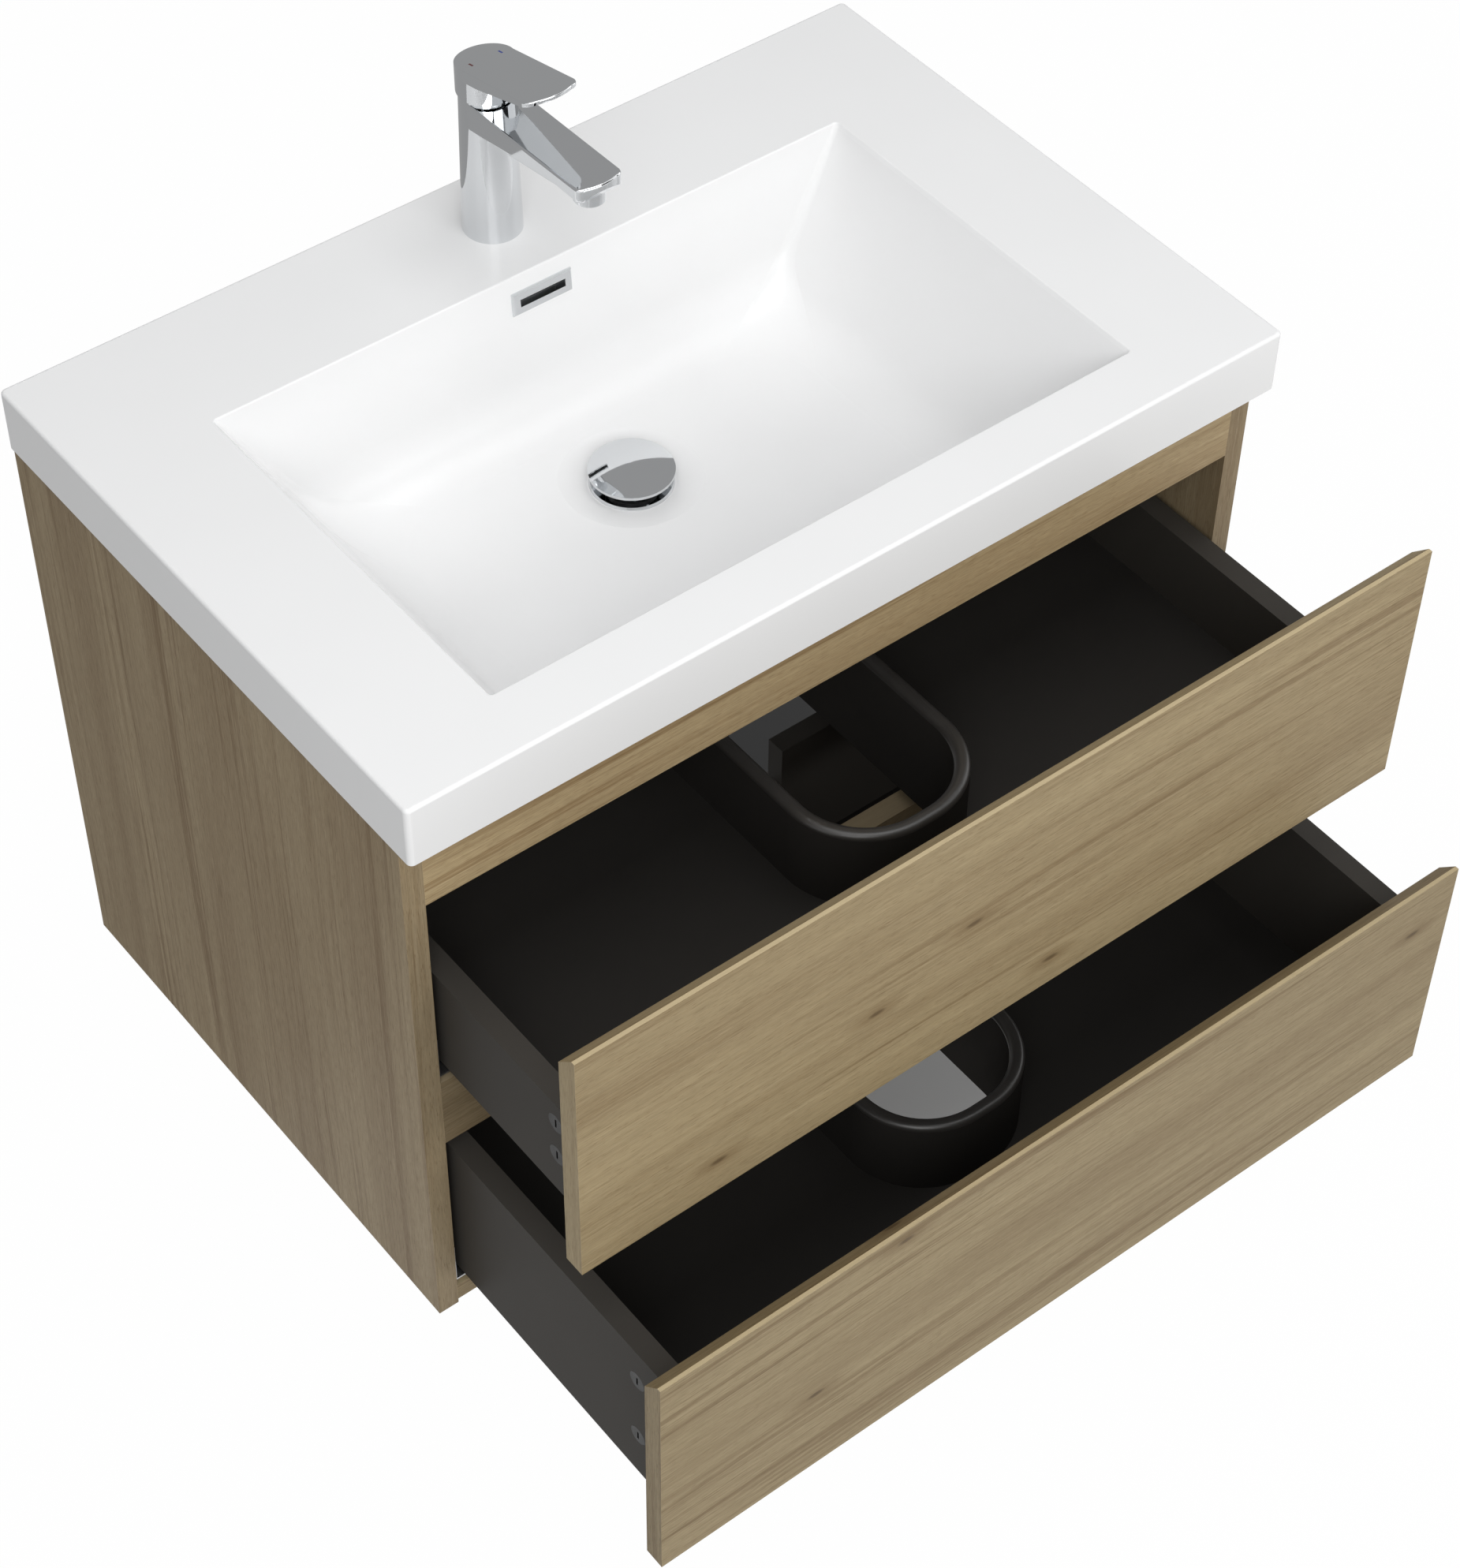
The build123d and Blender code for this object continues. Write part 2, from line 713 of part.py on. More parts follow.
def faucet_body():
    """Slightly tapered column with the spout, bored for the cartridge and the fixings."""
    base = slab_top
    column = Pos(0, faucet_y, base + faucet_height / 2) * Cone(
        faucet_base_radius, faucet_top_radius, faucet_height)
    shape = column + spout()
    nut_floor = faucet_top - cartridge_nut_height
    shape -= post(0, faucet_y, nut_floor, faucet_top, cartridge_nut_radius + fit_clearance)
    shape -= post(0, faucet_y, nut_floor - cartridge_length, nut_floor,
                  cartridge_radius + fit_clearance)
    shape -= ring(0, faucet_y, base, base + seal_height, seal_outer + fit_clearance,
                  seal_inner - fit_clearance)
    for side in (-1, 1):
        shape -= post(side * inlet_spacing / 2, faucet_y - inlet_forward, base,
                      base + inlet_depth, inlet_radius)
    shape -= post(0, faucet_y + stud_back, base, base + stud_grip,
                  stud_radius + fit_clearance)
    outlet = faucet_top - spout_outlet_depth
    return shape - post(0, faucet_y - aerator_from_axis, outlet,
                        outlet + aerator_neck_height, aerator_neck_radius + fit_clearance)


def aerator():
    """Round outlet under the spout's tip, recessed at its mouth."""
    y = faucet_y - aerator_from_axis
    seat = faucet_top - spout_outlet_depth
    low = seat - aerator_height
    shape = post(0, y, low, seat, aerator_radius)
    shape += post(0, y, seat, seat + aerator_neck_height, aerator_neck_radius)
    return shape - post(0, y, low, low + aerator_recess, aerator_radius - aerator_wall)


def faucet_seal():
    return ring(0, faucet_y, slab_top, slab_top + seal_height, seal_outer, seal_inner)


def faucet_stud():
    return post(0, faucet_y + stud_back, slab_top + stud_grip - stud_length,
                slab_top + stud_grip, stud_radius)


def faucet_clamp():
    """Horseshoe washer under the deck, open to the front for the hoses."""
    shape = post(0, faucet_y, deck_boss_bottom - clamp_thickness, deck_boss_bottom, clamp_radius)
    half = inlet_spacing / 2 + inlet_radius + 1
    shape -= block(-half, half, faucet_y - 2 * clamp_radius, faucet_y + 1,
                   deck_boss_bottom - clamp_thickness, deck_boss_bottom)
    return shape - post(0, faucet_y + stud_back, deck_boss_bottom - clamp_thickness,
                        deck_boss_bottom, stud_radius + fit_clearance)


def faucet_nut():
    top = deck_boss_bottom - clamp_thickness
    y = faucet_y + stud_back
    nut = hexagon(0, y, top - stud_nut_height, top, stud_nut_flats)
    return nut - post(0, y, top - stud_nut_height, top, stud_radius + fit_clearance)


# ------------------------------------------------------------------ cartridge and lever

def nut_floor():
    return faucet_top - cartridge_nut_height


def turret_bottom():
    return pivot_z - turret_floor - turret_foot


def cartridge_housing():
    """Fixed body of the cartridge, open at the top for the turning turret."""
    low = nut_floor() - cartridge_length
    shape = post(0, faucet_y, low, nut_floor(), cartridge_radius)
    return shape - post(0, faucet_y, turret_bottom(), nut_floor(),
                        turret_radius + running_clearance)


def cartridge_nut():
    """Threaded ring that holds the cartridge down in the body."""
    return ring(0, faucet_y, nut_floor(), faucet_top, cartridge_nut_radius,
                turret_radius + running_clearance)


def dome_cover():
    """Polished ring over the nut: part of a ball about the lever's pivot."""
    ball = Pos(0, faucet_y, pivot_z) * Sphere(dome_radius)
    shape = ball & block(-dome_radius, dome_radius, faucet_y - dome_radius,
                         faucet_y + dome_radius, faucet_top, faucet_top + dome_height)
    return shape - post(0, faucet_y, faucet_top, faucet_top + dome_height, dome_bore)


def cartridge_turret():
    """Turning part of the cartridge: two ears and the pin that the spindle rocks on."""
    shape = post(0, faucet_y, turret_bottom(), pivot_z + turret_head, turret_radius)
    half = spindle_side / 2 + slot_clearance
    shape -= block(-half, half, faucet_y - turret_radius, faucet_y + turret_radius,
                   pivot_z - turret_floor, pivot_z + turret_head)
    return shape + cross_rod(-turret_radius + 1, turret_radius - 1, faucet_y, pivot_z,
                             pivot_pin_radius)


def spindle():
    half = spindle_side / 2
    shape = block(-half, half, faucet_y - half, faucet_y + half,
                  pivot_z - spindle_foot, pivot_z + spindle_head)
    return shape - cross_rod(-half, half, faucet_y, pivot_z,
                             pivot_pin_radius + running_clearance)


def lever_outline(radius, half_tip, reach, corner, bow):
    """Plan outline of the lever: round behind the axis, flared and bowed in front."""
    back = ThreePointArc((-radius, 0), (0, radius), (radius, 0))
    return make_face(nose_outline(radius, half_tip, 0, reach, corner, bow) + [back])


def lever():
    """Plate as wide as the body with a round skirt and a socket for the spindle."""
    top = faucet_top + lever_height
    reach = lever_reach - lever_nose_bow
    plan = lever_outline(lever_radius, lever_tip_half, reach, lever_corner_radius,
                         lever_nose_bow)
    tall = extrude(Pos(0, 0, -2 * lever_reach) * plan, 4 * lever_reach)
    far = lever_radius + 2
    tip_top = lever_reach * lever_slope
    back_top = -far * lever_slope
    plate = side_profile([(far, back_top), (-lever_reach, tip_top),
                          (-lever_reach, tip_top - lever_tip_thickness),
                          (-lever_radius, lever_radius * lever_slope - lever_root_thickness),
                          (far, back_top - lever_root_thickness)], 4 * lever_radius)
    shape = tall & plate
    rim = [e for e in shape.edges()
           if all(abs((e @ t).Z + (e @ t).Y * lever_slope) < 0.01 for t in (0, 0.5, 1))]
    shape = fillet(rim, lever_edge_radius)
    low = lever_skirt_gap - lever_height
    skirt = ring(0, 0, low, tip_top, lever_radius, lever_radius - lever_skirt_wall)
    shape += skirt & side_profile([(far, back_top), (-far, far * lever_slope),
                                   (-far, low - 1), (far, low - 1)], 4 * lever_radius)
    socket_low = pivot_z + turret_head + socket_gap - top
    shape += Pos(0, 0, (socket_low - lever_root_thickness / 2) / 2) * Cylinder(
        socket_radius, -socket_low - lever_root_thickness / 2)
    shape = Pos(0, faucet_y, top) * shape
    half = spindle_side / 2 + fit_clearance
    shape -= block(-half, half, faucet_y - half, faucet_y + half,
                   socket_low + top, pivot_z + spindle_head + 0.2)
    return shape - depth_rod(0, faucet_y - 2 * socket_radius, faucet_y, grub_height(),
                             grub_radius + fit_clearance)


def grub_height():
    return pivot_z + turret_head + socket_gap + grub_radius + 1.2


def lever_screw():
    face = faucet_y - spindle_side / 2
    return depth_rod(0, face - grub_length, face, grub_height(), grub_radius)


# ------------------------------------------------------------------ drawers

def front_back(drawer):
    """Plane of the back of a drawer's front."""
    return carcass_front - bumper_gap - drawer["out"]


def drawer_front(drawer):
    """Front board with a bevelled finger grip along its top edge."""
    y1 = front_back(drawer)
    y0 = y1 - board
    top = drawer["top"]
    low = top - front_height
    outline = [(y0, low), (y0, top), (y0 + grip_land, top), (y1, top - grip_bevel), (y1, low)]
    shape = side_profile(outline, 2 * carcass_half)
    for x, z in cam_spots(drawer):
        for side in (-1, 1):
            shape -= depth_rod(side * x, y1 - cam_bolt_grip - 1, y1, z,
                               cam_bolt_radius + fit_clearance)
    return shape


def cam_spots(drawer):
    """Places (x, z) of a side's cam fittings."""
    high = drawer["box"] + drawer["side"] - drawer["cam_drop"]
    return [(side_inner + board / 2, high), (side_inner + board / 2, high - drawer["cam_spacing"])]


def drawer_side(drawer):
    """Right-hand drawer side, bored for its cams and their bolts."""
    y0 = front_back(drawer)
    shape = block(side_inner, side_outer, y0, y0 + box_length,
                  drawer["box"], drawer["box"] + drawer["side"])
    for x, z in cam_spots(drawer):
        shape -= depth_rod(x, y0, y0 + cam_from_front, z, cam_bolt_radius + fit_clearance)
        shape -= cross_rod(side_outer - cam_depth, side_outer, y0 + cam_from_front, z,
                           cam_radius + fit_clearance)
    return shape


def cam_fittings(drawer):
    """Cam discs with their bolts, which draw the front up to the sides."""
    y0 = front_back(drawer)
    fittings = []
    for x, z in cam_spots(drawer):
        y = y0 + cam_from_front
        disc = cross_rod(side_outer - cam_depth, side_outer, y, z, cam_radius)
        drive = Pos(side_outer, y, z) * Box(3, 1.6, cam_radius)
        bolt = depth_rod(x, y0 - cam_bolt_grip, y, z, cam_bolt_radius)
        fitting = disc + bolt - drive
        fittings += [fitting, mirrored(fitting)]
    return group(fittings)


def siphon_strip(nose, half, radius, length):
    """Plan of a slot open to the back: half wide, its nose at the given place."""
    middle = nose + radius
    bend = radius * sin(pi / 4)
    return make_face([
        Line((half, length), (half, middle)),
        ThreePointArc((half, middle), (half - radius + bend, middle - bend),
                      (half - radius, nose)),
        Line((half - radius, nose), (radius - half, nose)),
        ThreePointArc((radius - half, nose), (radius - half - bend, middle - bend),
                      (-half, middle)),
        Line((-half, middle), (-half, length)),
        Line((-half, length), (half, length)),
    ])


def siphon_prism(drawer, grow, z0, z1, length=box_length):
    """Upright prism of the siphon slot, widened by grow."""
    strip = siphon_strip(siphon_nose - grow, siphon_half + grow, siphon_nose_radius + grow,
                         length)
    return Pos(0, front_back(drawer), z0) * extrude(strip, z1 - z0)


def drawer_bottom(drawer):
    """Floor board with the siphon slot cut out of it."""
    y0 = front_back(drawer)
    z0 = drawer["box"] + floor_recess
    shape = block(-side_inner, side_inner, y0, y0 + box_length - board, z0, z0 + floor_board)
    return shape - siphon_prism(drawer, siphon_wall, z0, z0 + floor_board)


def drawer_back(drawer):
    """Right-hand half of the drawer's back, between the side and the siphon slot."""
    y1 = front_back(drawer) + box_length
    return block(siphon_outer, side_inner, y1 - board, y1,
                 drawer["box"] + floor_recess, drawer["box"] + drawer["side"])


def siphon_cover(drawer):
    """Moulded U-shaped wall round the siphon slot: a hollow rim with a lip under the floor."""
    z0 = drawer["box"] + siphon_lift
    z1 = z0 + siphon_height
    shape = siphon_prism(drawer, siphon_wall, z0, z1) - siphon_prism(drawer, 0, z0, z1)
    rim = [e for e in shape.faces().sort_by(Axis.Z)[-1].edges()
           if e.center().Y < front_back(drawer) + box_length - 1]
    shape = fillet(rim, siphon_rim_radius)
    ends = box_length - siphon_skin
    channel = (siphon_prism(drawer, siphon_wall - siphon_skin, z0, z1 - siphon_skin, ends)
               - siphon_prism(drawer, siphon_skin, z0, z1 - siphon_skin, ends))
    shape -= channel
    lip_top = drawer["box"] + floor_recess
    lip = (siphon_prism(drawer, siphon_wall + siphon_lip, lip_top - siphon_skin, lip_top,
                        box_length - board)
           - siphon_prism(drawer, siphon_wall - siphon_skin / 2, lip_top - siphon_skin, lip_top))
    return shape + lip


# ------------------------------------------------------------------ runners

def channel(middle, half, skin, y0, z0, z1):
    """Inverted U channel along Y."""
    outer = block(middle - half, middle + half, y0, y0 + runner_length, z0, z1)
    inner = block(middle - half + skin, middle + half - skin, y0, y0 + runner_length,
                  z0, z1 - skin)
    return outer - inner


def runner_halves():
    """Half widths of the fixed, middle and drawer members, from the inside out."""
    fixed = runner_rail_width / 2
    middle = fixed + runner_play + steel
    return fixed, middle, middle + runner_play + steel


def runner_middle():
    return side_inner - runner_side_gap - runner_halves()[2]


def runner_rail(drawer):
    """Right-hand cabinet member: a web on the side panel, a shelf and the inner rail."""
    fixed, middle, outer = runner_halves()
    y0 = carcass_front + runner_setback
    y1 = y0 + runner_length
    shelf = drawer["box"] - runner_shelf_drop
    rail_top = drawer["box"] + floor_recess - 2 * (steel + runner_play)
    x = runner_middle()
    shape = block(inside_half - steel, inside_half, y0, y1, shelf, shelf + runner_web_height)
    shape += block(x - fixed, inside_half, y0, y1, shelf, shelf + steel)
    shape += channel(x, fixed, steel, y0, shelf, rail_top)
    for y, z in runner_screw_spots():
        if shelf < z < shelf + runner_web_height:
            shape -= cross_rod(inside_half - steel, inside_half, y, z,
                               screw_radius + fit_clearance)
    return shape


def runner_slide(drawer):
    """Right-hand middle member, half as far out as the drawer."""
    y0 = carcass_front + runner_setback - drawer["out"] / 2
    top = drawer["box"] + floor_recess - steel - runner_play
    return channel(runner_middle(), runner_halves()[1], steel, y0,
                   drawer["box"] - runner_leg_drop, top)


def runner_carrier(drawer):
    """Right-hand drawer member, under the drawer's floor."""
    y0 = carcass_front + runner_setback - drawer["out"]
    return channel(runner_middle(), runner_halves()[2], steel, y0,
                   drawer["box"] - runner_leg_drop + steel, drawer["box"] + floor_recess)


# ------------------------------------------------------------------ assembly

add("side_panel_right", side_panel())
add("side_panel_left", mirrored(side_panel()))
rail("top_rail", carcass_front, carcass_top - rail_height, board, rail_height)
rail("middle_rail", carcass_front, upper_front_bottom - rail_height, board, rail_height)
rail("bottom_rail", carcass_front, bottom_rail_top - board, bottom_rail_depth, board)
rail("upper_rear_rail", rear_rail_back() - board, carcass_top - rail_height, board, rail_height)
rail("lower_rear_rail", -board, bottom_rail_top, board, rail_height)
add("rail_dowels", dowels())
add("carcass_screws", carcass_screws())
add("wall_plates", group([wall_plate(), mirrored(wall_plate())]))
add("hangers", group([hanger(), mirrored(hanger())]))

add("basin_top", basin_top())
add("overflow_cover", overflow_cover())
add("overflow_ring", overflow_ring())
add("waste_body", waste_body())
add("waste_gasket", ring(0, waste_y, waste_boss_bottom - gasket_height, waste_boss_bottom,
                         waste_boss_radius - 4, waste_tail_radius + fit_clearance))
nut_top = waste_boss_bottom - gasket_height
add("waste_nut", hexagon(0, waste_y, nut_top - waste_nut_height, nut_top, waste_nut_flats)
    - post(0, waste_y, nut_top - waste_nut_height, nut_top, waste_tail_radius + fit_clearance))
add("waste_cap", waste_cap())
add("waste_cap_seal", cap_seal())

add("faucet_body", faucet_body())
add("aerator", aerator())
add("faucet_seal", faucet_seal())
add("faucet_stud", faucet_stud())
add("faucet_clamp", faucet_clamp())
add("faucet_nut", faucet_nut())
add("cartridge_housing", cartridge_housing())
add("cartridge_nut", cartridge_nut())
add("dome_cover", dome_cover())
add("cartridge_turret", cartridge_turret())
add("spindle", spindle())
add("lever", lever())
add("lever_screw", lever_screw())

for drawer in (upper, lower):
    name = drawer["name"]
    add(name + "_front", drawer_front(drawer))
    add(name + "_side_right", drawer_side(drawer))
    add(name + "_side_left", mirrored(drawer_side(drawer)))
    add(name + "_back_right", drawer_back(drawer))
    add(name + "_back_left", mirrored(drawer_back(drawer)))
    add(name + "_bottom", drawer_bottom(drawer))
    add(name + "_siphon_wall", siphon_cover(drawer))
    add(name + "_cam_fittings", cam_fittings(drawer))
    for side, place in (("right", lambda shape: shape), ("left", mirrored)):
        add(f"{name}_runner_rail_{side}", place(runner_rail(drawer)))
        add(f"{name}_runner_slide_{side}", place(runner_slide(drawer)))
        add(f"{name}_runner_carrier_{side}", place(runner_carrier(drawer)))

os.makedirs("parts", exist_ok=True)
for name, shape in parts.items():
    export_step(shape, f"parts/{name}.step")
print(len(parts), "nodes")
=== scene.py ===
import math

import bpy
from mathutils import Euler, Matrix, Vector

# Looks of a wall-hung vanity: oak decor boards, anthracite drawer boxes, a cast white basin
# top with a soft gloss, and a chrome faucet.  Metres, in the CAD frame (+Y into the wall,
# +Z up).

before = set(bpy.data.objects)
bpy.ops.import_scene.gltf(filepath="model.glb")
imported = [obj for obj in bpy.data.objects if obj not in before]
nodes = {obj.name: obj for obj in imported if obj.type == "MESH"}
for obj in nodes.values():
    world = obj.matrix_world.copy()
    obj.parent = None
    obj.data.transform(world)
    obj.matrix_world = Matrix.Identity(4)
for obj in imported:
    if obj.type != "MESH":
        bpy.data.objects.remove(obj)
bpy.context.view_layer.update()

MM = 0.001
WHITE = (1, 1, 1, 1)

SLAB_HALF_WIDTH = 350 * MM      # the basin top lies between x = -350 and +350 mm
SLAB_FRONT = -460 * MM
SLAB_TOP = 118 * MM

FRONT_BOARDS = ("top_rail", "middle_rail", "bottom_rail", "upper_front", "lower_front")
REAR_RAILS = ("upper_rear_rail", "lower_rear_rail")
SIDE_PANELS = ("side_panel_left", "side_panel_right")
DRAWERS = ("upper", "lower")
BOX_BOARDS = ("side_left", "side_right", "back_left", "back_right")


def srgb(red, green, blue):
    """0..255 display values as a linear colour."""
    def linear(value):
        value /= 255
        return value / 12.92 if value <= 0.04045 else ((value + 0.055) / 1.055) ** 2.4
    return (linear(red), linear(green), linear(blue), 1.0)


def toned(colour, factor):
    """A darker or lighter tone of a colour."""
    return tuple(min(1.0, channel * factor) for channel in colour[:3]) + (1,)


# ------------------------------------------------------------------ node helpers

class Graph:
    """Short spellings for building the nodes of a material or of the world."""

    def __init__(self, owner):
        self.owner = owner
        owner.use_nodes = True
        self.tree = owner.node_tree
        self.tree.nodes.clear()

    def add(self, kind, *values, **settings):
        """A new node with its settings, and a value or a link for each of its first inputs."""
        node = self.tree.nodes.new(kind)
        for key, value in settings.items():
            setattr(node, key, value)
        for socket, value in zip(node.inputs, values):
            self.put(socket, value)
        return node

    def put(self, target, value):
        if isinstance(value, bpy.types.NodeSocket):
            self.tree.links.new(value, target)
        else:
            target.default_value = value

    def fill(self, node, **values):
        """Gives a node's inputs by name, with _ for a space, a value or a link each."""
        for key, value in values.items():
            self.put(node.inputs[key.replace("_", " ")], value)
        return node

    def position(self):
        """Where the surface is, in the piece's own frame."""
        return self.add("ShaderNodeTexCoord").outputs["Object"]

    def place(self):
        """The position as separate x, y and z."""
        return self.add("ShaderNodeSeparateXYZ", self.position()).outputs

    def facing(self):
        """Direction that the surface faces, as separate x, y and z."""
        normal = self.add("ShaderNodeNewGeometry").outputs["Normal"]
        return self.add("ShaderNodeSeparateXYZ", normal).outputs

    def math(self, operation, a, b=0.0, c=0.0):
        return self.add("ShaderNodeMath", a, b, c, operation=operation).outputs[0]

    def absolute(self, value):
        return self.math("ABSOLUTE", value)

    def largest(self, first, *others):
        for other in others:
            first = self.math("MAXIMUM", first, other)
        return first

    def vector(self, x, y, z=0.0):
        return self.add("ShaderNodeCombineXYZ", x, y, z).outputs[0]

    def scaled(self, axes, scales):
        """A vector of the axes, each times its scale."""
        return self.vector(*(self.math("MULTIPLY", axis, scale)
                             for axis, scale in zip(axes, scales)))

    def noise(self, vector, scale=1.0, detail=2.0, rough=0.5):
        return self.fill(self.add("ShaderNodeTexNoise"), Vector=vector, Scale=scale,
                         Detail=detail, Roughness=rough).outputs["Fac"]

    def ramp(self, value, *stops, smooth=False):
        """stops are (position, grey or colour)."""
        node = self.add("ShaderNodeValToRGB", value)
        band = node.color_ramp
        band.interpolation = "EASE" if smooth else "LINEAR"
        while len(band.elements) < len(stops):
            band.elements.new(0.5)
        for element, (position, colour) in zip(band.elements, stops):
            element.position = position
            element.color = colour if isinstance(colour, tuple) else (colour,) * 3 + (1,)
        return node.outputs[0]

    def span(self, value, source, target, smooth=False):
        """Carries a value from the source range over to the target range, and stops there."""
        node = self.add("ShaderNodeMapRange",
                        interpolation_type="SMOOTHSTEP" if smooth else "LINEAR")
        self.fill(node, Value=value, From_Min=source[0], From_Max=source[1],
                  To_Min=target[0], To_Max=target[1])
        return node.outputs[0]

    def mix(self, factor, a, b, blend="MIX"):
        node = self.add("ShaderNodeMix", data_type="RGBA", blend_type=blend)
        for index, value in ((0, factor), (6, a), (7, b)):      # the inputs for colours
            self.put(node.inputs[index], value)
        return node.outputs[2]


class Shader(Graph):
    """A material of the object, with its Principled shader."""

    def __init__(self, name):
        super().__init__(bpy.data.materials.new(name))
        self.bsdf = self.add("ShaderNodeBsdfPrincipled")
        self.add("ShaderNodeOutputMaterial", self.bsdf.outputs[0])

    def set(self, **values):
        self.fill(self.bsdf, **values)

    def sheen(self, upright, level):
        """Specular level of upright faces and of faces that look up."""
        up = self.facing()[2]
        self.set(Specular_IOR_Level=self.ramp(up, (0.02, upright), (0.35, level)))

    def bump(self, height, strength, distance):
        node = self.fill(self.add("ShaderNodeBump"), Strength=strength, Distance=distance,
                         Height=height)
        self.set(Normal=node.outputs[0])


# ------------------------------------------------------------------ materials

OAK_LIGHT = srgb(158, 141, 108)
OAK_MID = srgb(150, 133, 101)
OAK_DARK = srgb(140, 122, 91)
OAK_LINE = srgb(107, 84, 53)
OAK_KNOT = srgb(78, 60, 37)
OAK_PALE = srgb(188, 173, 142)
# painted highlight on arrises and upper edges, partly the banding's own paler colour
OAK_BANDING_HIGHLIGHT = srgb(205, 187, 150)

SEED_ALONG, SEED_ACROSS = 1.37, 0.71    # from one board's stretch of the decor to the next
WANDER_SCALE = (2.6, 7.0, 7.0)
WANDER_REACH = 13 * MM
KNOT_SCALE = (2.6, 8.0)                 # cells per metre, of which few show a knot
OAK_SQUARE = 0.97                       # from here on a face counts as square to an axis
BANDING_HIGHLIGHT_SHARE = 0.6


def oak(name, grain, seed, painted_light_tint=(1, 1, 1), contrast=1.0, knotty=1.0):
    """Oak decor with its grain along X or Z: calm tone bands, long lines, pores and knots."""
    s = Shader(name)
    x, y, z = s.place()
    side, front, up = s.facing()
    if grain == "X":
        # the banding on a board's ends has its grain upright
        end = s.math("GREATER_THAN", s.absolute(side), 0.7)
        along, across, deep = (
            s.math("MULTIPLY_ADD", end, s.math("SUBTRACT", turned, axis), axis)
            for axis, turned in ((x, z), (z, y), (y, x)))
    else:
        along, across, deep = z, y, x
    along = s.math("ADD", along, seed * SEED_ALONG)
    across = s.math("ADD", across, seed * SEED_ACROSS)

    wander = s.noise(s.scaled((along, across, deep), WANDER_SCALE), detail=1.0, rough=0.4)
    wavy = s.math("MULTIPLY_ADD", s.math("SUBTRACT", wander, 0.5), WANDER_REACH, across)

    def grained(length_scale, width_scale, offset=0.0, **options):
        return s.noise(s.vector(s.math("MULTIPLY_ADD", along, length_scale, offset),
                                s.math("MULTIPLY", wavy, width_scale),
                                s.math("MULTIPLY", deep, width_scale)), **options)

    def marks(texture, start, full, most=1.0):
        """Share of marks in a texture: none of them up to start, the most from full on."""
        return s.ramp(texture, (start, 0.0), (full, most))

    def darken(colour, share, strength):
        return s.mix(s.math("MULTIPLY", share, strength * contrast), colour, OAK_LINE)

    colour = s.ramp(grained(1.1, 24.0), (0.28, OAK_DARK), (0.50, OAK_MID), (0.72, OAK_LIGHT))
    bundles = marks(grained(1.9, 62.0, 3.0, detail=3.0, rough=0.6), 0.50, 0.70)
    colour = darken(colour, bundles, 0.20)

    busy = s.ramp(grained(1.6, 26.0, 11.0), (0.42, 0.25), (0.62, 1.0))
    lines = marks(grained(4.0, 290.0, 7.0), 0.57, 0.66)
    long_lines = marks(grained(1.1, 105.0, 31.0), 0.59, 0.63)
    hairs = marks(grained(9.0, 640.0, 17.0, rough=0.6), 0.55, 0.66)
    for share, strength in ((lines, 0.42), (long_lines, 0.50), (hairs, 0.34)):
        colour = darken(colour, s.math("MULTIPLY", share, busy), strength)

    colour = s.mix(marks(grained(11.0, 520.0, 23.0), 0.56, 0.70, 0.14), colour, OAK_PALE)
    fibres = grained(70.0, 1150.0, rough=0.6)
    relief = s.ramp(fibres, (0.30, 0.36), (0.50, 0.5), (0.70, 0.64))
    colour = s.mix(0.40, colour, relief, blend="OVERLAY")
    pores = marks(grained(120.0, 1500.0, detail=1.0), 0.60, 0.70, 0.42)
    colour = s.mix(pores, colour, OAK_LINE)

    knots = s.fill(s.add("ShaderNodeTexVoronoi", feature="F1", voronoi_dimensions="2D"),
                   Vector=s.scaled((along, wavy), KNOT_SCALE), Scale=1.0)
    for tone, heart, rim, most in ((OAK_LINE, 0.016, 0.090, 0.45),
                                   (OAK_KNOT, 0.008, 0.024, 0.70)):
        share = s.ramp(knots.outputs["Distance"], (heart, most * knotty), (rim, 0.0),
                       smooth=True)
        colour = s.mix(share, colour, tone)

    # painted highlight, partly the banding's own paler colour: arrises and undersides, unless
    # they face the wall, and upper edges are lightened
    squarest = s.largest(s.absolute(side), s.absolute(front), up)
    arris = s.math("MULTIPLY", s.math("LESS_THAN", squarest, OAK_SQUARE),
                   s.math("LESS_THAN", front, 0.1))
    banding_and_highlight = s.largest(arris, s.math("GREATER_THAN", up, OAK_SQUARE))
    colour = s.mix(s.math("MULTIPLY", banding_and_highlight, BANDING_HIGHLIGHT_SHARE), colour, OAK_BANDING_HIGHLIGHT)
    # painted light and shade: the tint multiplies the whole board, lighter or darker, to stand
    # for the light that falls on it
    colour = s.mix(1.0, colour, painted_light_tint + (1,), blend="MULTIPLY")

    s.set(Base_Color=colour, Roughness=s.ramp(fibres, (0.3, 0.60), (0.7, 0.50)),
          Specular_IOR_Level=0.22)
    s.bump(s.math("SUBTRACT", fibres, s.math("MULTIPLY", pores, 0.8)), 0.16, 0.3 * MM)
    return s.owner


BASIN_SPECULAR = 0.3
BASIN_ARRIS_SPECULAR = 0.03
BASIN_SQUARE = 0.99
OUTER_BAND = 4.5 * MM           # how far in from the slab's outline its arrises reach
RIM_BAND = 3 * MM               # how far down from the slab's top the rim's arrises reach


